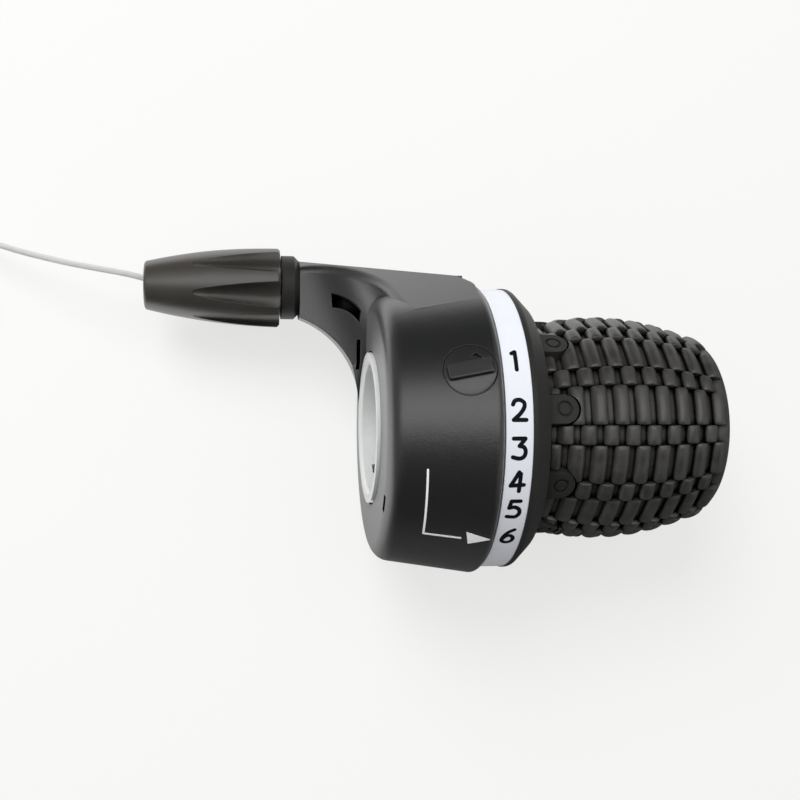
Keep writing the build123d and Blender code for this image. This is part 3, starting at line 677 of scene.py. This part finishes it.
# Printed marks
def straight_line(first, last, steps):
    return [first.lerp(last, step / steps) for step in range(steps + 1)]


def smooth_line(points):
    """Line that passes smoothly through the given points; two of them give a straight one."""
    if len(points) == 2:
        return straight_line(*points, line_steps)
    line = []
    ends = [points[0], *points, points[-1]]
    for a, b, c, d in zip(ends, ends[1:], ends[2:], ends[3:]):
        for step in range(line_steps):
            t = step / line_steps
            line.append(
                0.5 * ((2 * b) + (c - a) * t + (2 * a - 5 * b + 4 * c - d) * t**2
                       + (3 * b - a - 3 * c + d) * t**3)
            )
    line.append(points[-1])
    return line


def round_end(point, along, across, half):
    """Half circle at a stroke's end, without the two points on the stroke's sides."""
    turns = [math.pi * step / round_end_steps for step in range(1, round_end_steps)]
    return [point + (across * math.cos(turn) + along * math.sin(turn)) * half for turn in turns]


def add_stroke(line, half, points, faces):
    """Adds a pen stroke with round ends to lists of flat points and faces."""
    ways = []
    for number in range(len(line)):
        before = line[max(number - 1, 0)]
        after = line[min(number + 1, len(line) - 1)]
        along = (after - before).normalized()
        ways.append((along, Vector((-along.y, along.x))))
    left = len(points)
    right = left + len(line)
    last = len(line) - 1
    points.extend(point + across * half for point, (along, across) in zip(line, ways))
    points.extend(point - across * half for point, (along, across) in zip(line, ways))
    for number in range(last):
        faces.append((left + number, right + number, right + number + 1, left + number + 1))
    end = len(points)
    points.extend(round_end(line[-1], *ways[-1], half))
    faces.append((left + last, right + last, *reversed(range(end, len(points)))))
    begin = len(points)
    along, across = ways[0]
    points.extend(round_end(line[0], -along, -across, half))
    faces.append((right, left, *reversed(range(begin, len(points)))))


def stroke_mesh(lines, width):
    """Flat points and faces of pen strokes along some lines."""
    points, faces = [], []
    for line in lines:
        add_stroke(line, width / 2, points, faces)
    return points, faces


def print_piece(name, points, faces, material, body):
    """Thin printed piece on a surface."""
    piece = mesh_piece(name, points, faces, False)
    thick = piece.modifiers.new("thickness", "SOLIDIFY")
    thick.thickness = 2 * print_thickness * MM
    thick.offset = 0.0
    piece.data.materials.append(material)
    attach(piece, body)


def print_digits(material):
    for name, middle in zip(digit_lines, digit_angles):
        lines = []
        for corners in digit_lines[name]:
            line = smooth_line([Vector(corner) for corner in corners])
            lines.append([Vector((p.x * digit_width, p.y * digit_height)) for p in line])
        flat, faces = stroke_mesh(lines, digit_stroke)
        points = []
        for p in flat:
            points.append(around(digit_x + p.x, middle + math.degrees(p.y / band_radius), band_radius))
        print_piece("digit_" + name, points, faces, material, "twist")


def unrolled(x, angle):
    """Flat point for a place along the bar and an angle on the housing."""
    return Vector((x, math.radians(angle) * housing_inboard_radius))


def on_housing(flat):
    """Point on the housing's sloped skin for a flat one."""
    slope = (housing_rim_radius - housing_inboard_radius) / housing_rim_x
    radius = housing_inboard_radius + slope * flat.x
    return around(flat.x, math.degrees(flat.y / housing_inboard_radius), radius)


def print_pointer(material):
    """Thin line that runs down the housing and turns to an arrow at the number in use."""
    lines = []
    for first, last in (pointer_down, pointer_across):
        lines.append(straight_line(unrolled(*first), unrolled(*last), pointer_steps))
    flat, faces = stroke_mesh(lines, pointer_stroke)
    print_piece("pointer_line", [on_housing(p) for p in flat], faces, material, "housing")
    front, rear, tip = unrolled(*arrow_front), unrolled(*arrow_rear), unrolled(*arrow_tip)
    flat, faces = [], []
    for base in straight_line(front, rear, arrow_steps):
        flat.extend(straight_line(base, base.lerp(tip, arrow_blunt), arrow_steps))
    for across in range(arrow_steps):
        for along in range(arrow_steps):
            here = across * (arrow_steps + 1) + along
            there = here + arrow_steps + 1
            faces.append((here, there, there + 1, here + 1))
    print_piece("pointer_arrow", [on_housing(p) for p in flat], faces, material, "housing")


# Rubber grip
def skin_radius(x):
    """Barrel line of the rib tops, a parabola through three radii."""
    left = (rubber_full_radius - rubber_start_radius) / (rubber_full_x - rubber_start_x)
    right = (rubber_late_radius - rubber_full_radius) / (rubber_late_x - rubber_full_x)
    bend = (right - left) / (rubber_late_x - rubber_start_x)
    return rubber_start_radius + (x - rubber_start_x) * (left + bend * (x - rubber_full_x))


def grip_radius(x):
    """Line of the rib tops, with the rounded outer end."""
    if x <= rubber_late_x:
        return skin_radius(x)
    reach = min(x - rubber_late_x, rubber_end_round)
    return rubber_late_radius - rubber_end_round + math.sqrt(rubber_end_round**2 - reach**2)


def rib_root(x):
    """Floor between the ribs, which comes up to their tops at the very end."""
    past_late = max(0.0, x - rubber_late_x) / rubber_end_round
    return grip_radius(x) - rib_height * (1 - past_late)


def cushion(share, power):
    """Height from 0 to 1 over a share from -1 to 1, flatter for a higher power."""
    if abs(share) >= 1:
        return 0.0
    return (1 - abs(share) ** power) ** (1 / power)


def row_start(wide):
    """Start of a row's first rib, which the inner end cuts; the narrow rows lie half a pitch back."""
    return rubber_start_x + rib_first - (0.0 if wide else rib_pitch / 2) - rib_pitch


def rib_share(x, wide):
    """Height of a row's ribs at a place along the bar, from 0 to 1, with no cut rib at the end."""
    first = row_start(wide)
    rib_start = first + math.floor((x - first) / rib_pitch) * rib_pitch
    if rib_start + rib_length > rubber_end_x:
        return 0.0
    half = rib_length / 2
    return cushion((x - rib_start - half) / half, rib_length_power)


def row_samples():
    """Angles across the rows with the row each belongs to and its share across that row."""
    period = 360 / row_pairs
    samples = []
    for pair in range(row_pairs):
        for wide in (True, False):
            width = period * (wide_row_share if wide else 1 - wide_row_share)
            centre = row_first_angle + period * (pair + (0.0 if wide else 0.5))
            for share in row_shares:
                samples.append((centre + share * width / 2, wide, share))
    return samples


def place_samples():
    """Places along the bar, close together at the sides of the ribs and on the rounded end."""
    places = {rubber_start_x, rubber_end_x}
    for wide in (True, False):
        first = row_start(wide)
        for number in range(math.ceil((rubber_end_x - first) / rib_pitch)):
            places.update(first + number * rib_pitch + share * rib_length for share in rib_shares)
    for step in range(1, end_round_steps):
        turn = math.radians(90 * step / end_round_steps)
        places.add(rubber_late_x + rubber_end_round * math.sin(turn))
    kept = []
    for x in sorted(places):
        inside = rubber_start_x <= x <= rubber_end_x
        if inside and (not kept or x - kept[-1] > least_step):
            kept.append(x)
    return kept


def make_grip(material):
    """Sleeve from rings along its ribbed outside and back through its bore, with the pads' notches."""
    rows = row_samples()
    rings = []
    for x in place_samples():
        root = rib_root(x)
        rise = grip_radius(x) - root
        high = {wide: rise * rib_share(x, wide) for wide in (True, False)}
        rings.append([
            (x, angle, root + high[wide] * cushion(share, rib_width_power)) for angle, wide, share in rows
        ])
    bore = [
        (rubber_end_x, rubber_lip_bore + lip_bevel_height),
        (rubber_end_x - lip_bevel_length, rubber_lip_bore),
        (rubber_end_x - rubber_lip, rubber_lip_bore),
        (rubber_end_x - rubber_lip, rubber_bore),
        (rubber_start_x, rubber_bore),
    ]
    for x, radius in bore:
        rings.append([(x, angle, radius) for angle, wide, share in rows])
    points = [around(*sample) for ring in rings for sample in ring]
    count = len(rows)
    faces = []
    for ring in range(len(rings)):
        here = ring * count
        there = (ring + 1) % len(rings) * count
        for step in range(count):
            after = (step + 1) % count
            faces.append((here + step, here + after, there + after, there + step))
    grip = mesh_piece("ribbed_grip", points, faces)
    cut_pad_rooms(grip)
    grip.data.materials.append(material)
    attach(grip, "twist")
    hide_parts("rubber_grip")


def pad_room_cutters():
    """Mesh of the notches' rooms, each straight from the inner end and round past its pad."""
    outline = [(rubber_start_x - pad_room_lead, -pad_room), (rubber_start_x - pad_room_lead, pad_room)]
    for step in range(pad_room_steps + 1):
        turn = math.radians(90 - 180 * step / pad_room_steps)
        outline.append((pad_x + pad_room * math.cos(turn), pad_room * math.sin(turn)))
    cutters = bmesh.new()
    for number in range(pad_count):
        spin = Matrix.Rotation(-math.radians(pad_first_angle + 360 / pad_count * number), 4, "X")
        low = [cutters.verts.new(spin @ metres((x, y, pad_room_floor))) for x, y in outline]
        high = [cutters.verts.new(spin @ metres((x, y, pad_room_top))) for x, y in outline]
        cutters.faces.new(low)
        cutters.faces.new(reversed(high))
        for step in range(len(outline)):
            after = (step + 1) % len(outline)
            cutters.faces.new((low[step], high[step], high[after], low[after]))
    bmesh.ops.recalc_face_normals(cutters, faces=cutters.faces)
    mesh = bpy.data.meshes.new("pad_rooms")
    cutters.to_mesh(mesh)
    cutters.free()
    return mesh


def cut_pad_rooms(grip):
    """Takes the pads' rooms out of the grip's inner end."""
    tool = add_object("pad_rooms", pad_room_cutters())
    cut = grip.modifiers.new("pad_rooms", "BOOLEAN")
    cut.operation = "DIFFERENCE"
    cut.solver = "EXACT"
    cut.object = tool
    bpy.context.view_layer.update()
    seen = grip.evaluated_get(bpy.context.evaluated_depsgraph_get())
    result = bpy.data.meshes.new_from_object(seen)
    grip.modifiers.clear()
    grip.data = result
    bpy.data.objects.remove(tool)
    for polygon in grip.data.polygons:
        polygon.use_smooth = True
    grip.data.set_sharp_from_angle(angle=math.radians(sharp_angle))


# Assembly
bpy.context.scene.view_settings.view_transform = "Standard"
place_camera()
make_room()
add_lamp("overhead", overhead_place, overhead_size, overhead_power, False)
add_lamp("sheen", sheen_place, sheen_size, sheen_power, True)
lay_floor()

charcoal = housing_finish()
satin = flange_finish()
alloy = metal_finish("dull_alloy", (0.80, 0.82, 0.81, 1), (0.92, 0.94, 0.93, 1), 0.4, metallic=0.3)
zinc = metal_finish("zinc_steel", (0.42, 0.42, 0.43, 1), (0.6, 0.6, 0.6, 1), 0.3)
spring = metal_finish("bright_spring", (0.4, 0.4, 0.42, 1), (0.52, 0.52, 0.54, 1), 0.28)
brass = metal_finish("turned_brass", (0.66, 0.48, 0.22, 1), (0.78, 0.6, 0.32, 1), 0.26)
drum_grey = plain_finish("drum_grey", (0.075, 0.075, 0.08, 1), (0.11, 0.11, 0.115, 1), 0.4)
washer_pale = plain_finish("washer_pale", (0.68, 0.68, 0.65, 1), (0.76, 0.76, 0.73, 1), 0.38)
tie_black = plain_finish("tie_black", (0.03, 0.03, 0.03, 1), (0.05, 0.05, 0.05, 1), 0.42)
black_ink = ink_finish("black_ink", (0.004, 0.004, 0.007, 1), (0.009, 0.009, 0.013, 1))
white_ink = ink_finish("white_ink", (0.92, 0.93, 0.92, 1), (0.97, 0.97, 0.96, 1))
strands = wire_finish()

# Finishes of the solids that are shown as they are
finishes = {
    "shifter_housing": charcoal,
    "cable_hatch": charcoal,
    "grip_tube": satin,
    "adjuster_knob": knob_finish(),
    "adjuster_collar": satin,
    "number_band": band_finish(),
    "clamp_ring": alloy,
    "adjuster_stem": alloy,
    "clamp_screw": zinc,
    "clamp_nut": zinc,
    "casing_seat": zinc,
    "wire_head": zinc,
    "detent_spring": spring,
    "retaining_ring": spring,
    "adjuster_spring": spring,
    "thread_insert": brass,
    "wire_drum": drum_grey,
    "thrust_washer": washer_pale,
    "wire_tie": tie_black,
    "inner_wire": strands,
}
for name, material in finishes.items():
    slots = nodes[name].data.materials
    slots.clear()
    slots.append(material)

make_wire(strands)
print_digits(black_ink)
print_pointer(white_ink)
make_grip(rubber_finish())
